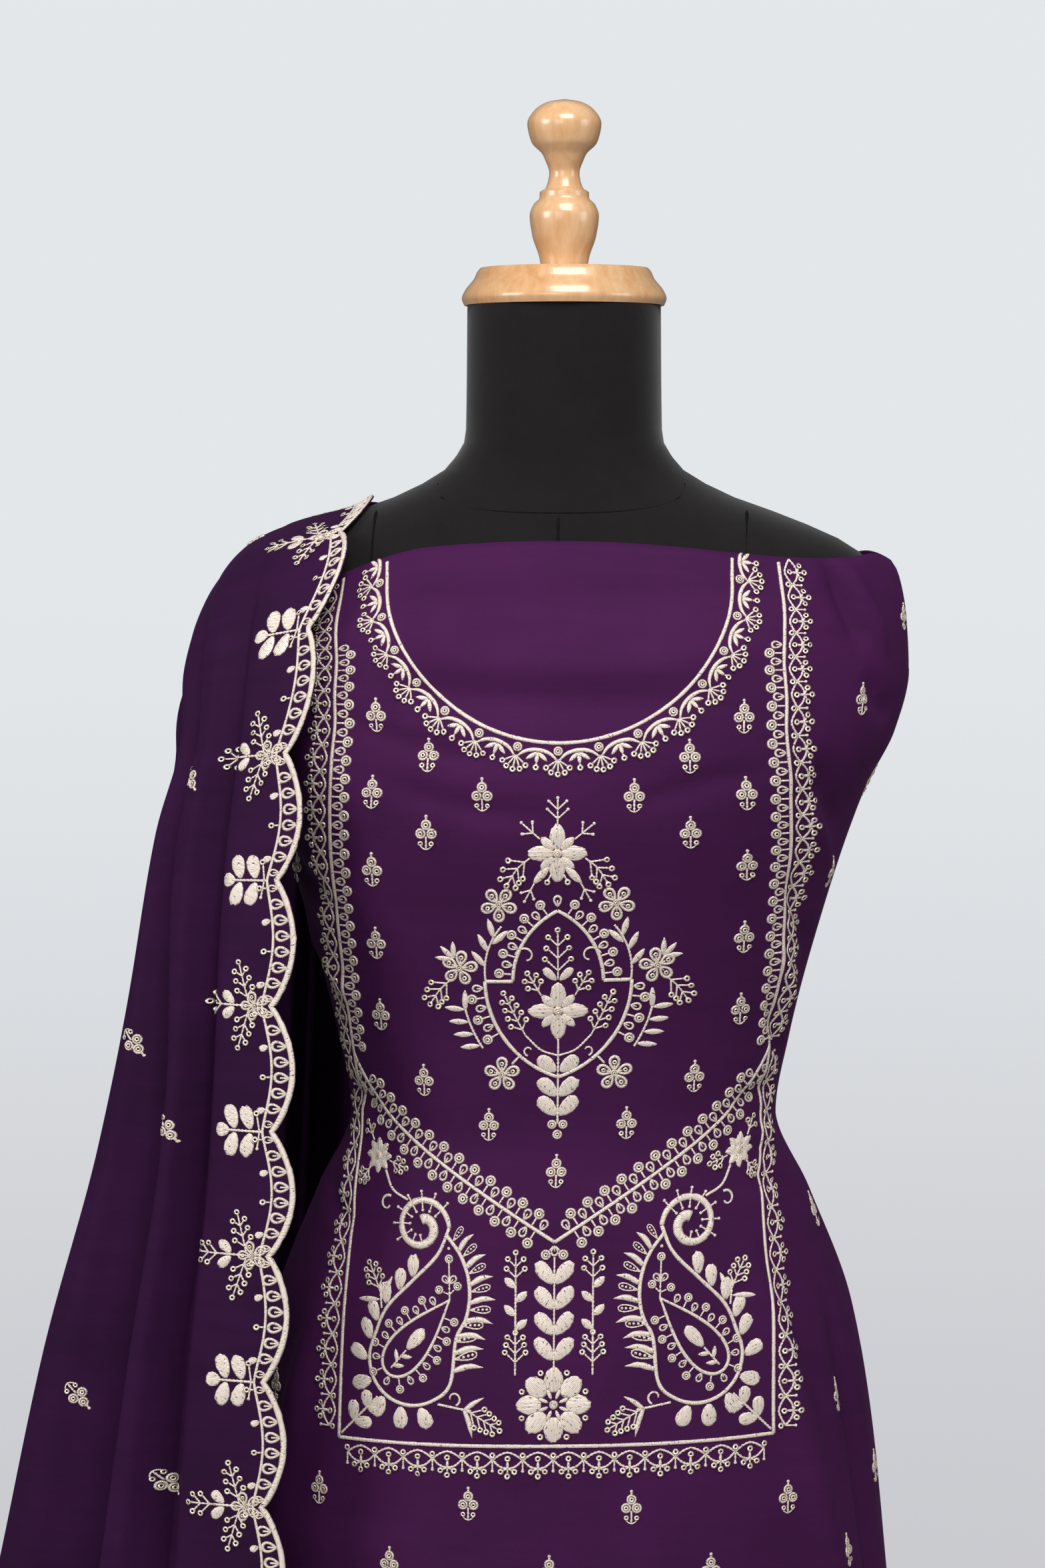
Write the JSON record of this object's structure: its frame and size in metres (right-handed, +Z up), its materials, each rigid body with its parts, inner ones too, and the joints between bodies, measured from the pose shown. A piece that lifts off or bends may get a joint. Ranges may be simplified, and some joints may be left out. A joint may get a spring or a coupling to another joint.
{
  "type": "salwar kameez suit on a dress form",
  "caption": "Purple georgette salwar kameez suit with pale thread embroidery and a folded dupatta, standing on a limbless dress form with a wooden neck cap.",
  "frame": {"origin": "on the floor under the middle of the stand base", "axes": "+Z up, the garment's front faces -Y, +X is to the right seen from the front"},
  "size_m": [0.668, 0.41, 1.622],
  "materials": {
    "form_jersey": "matte black jersey stretched over the form",
    "wood": "turned pale wood under clear varnish",
    "georgette": "fine purple georgette, slightly sheer",
    "salwar_cloth": "plain purple cloth, matte",
    "zari_thread": "pale antique gold thread, soft metallic sheen",
    "sequins": "pale gold, reflective"
  },
  "bodies": {
    "root": {"form_torso": "form_jersey", "neck_cap": "wood", "finial": "wood", "stand_pole": "wood", "stand_base": "wood", "kameez_front": "georgette", "kameez_back": "georgette", "salwar_left": "salwar_cloth", "salwar_right": "salwar_cloth", "salwar_cuff_left": "salwar_cloth", "salwar_cuff_right": "salwar_cloth", "dupatta_front": "georgette", "dupatta_shoulder": "georgette", "dupatta_back": "georgette"}
  },
  "joints": []
}
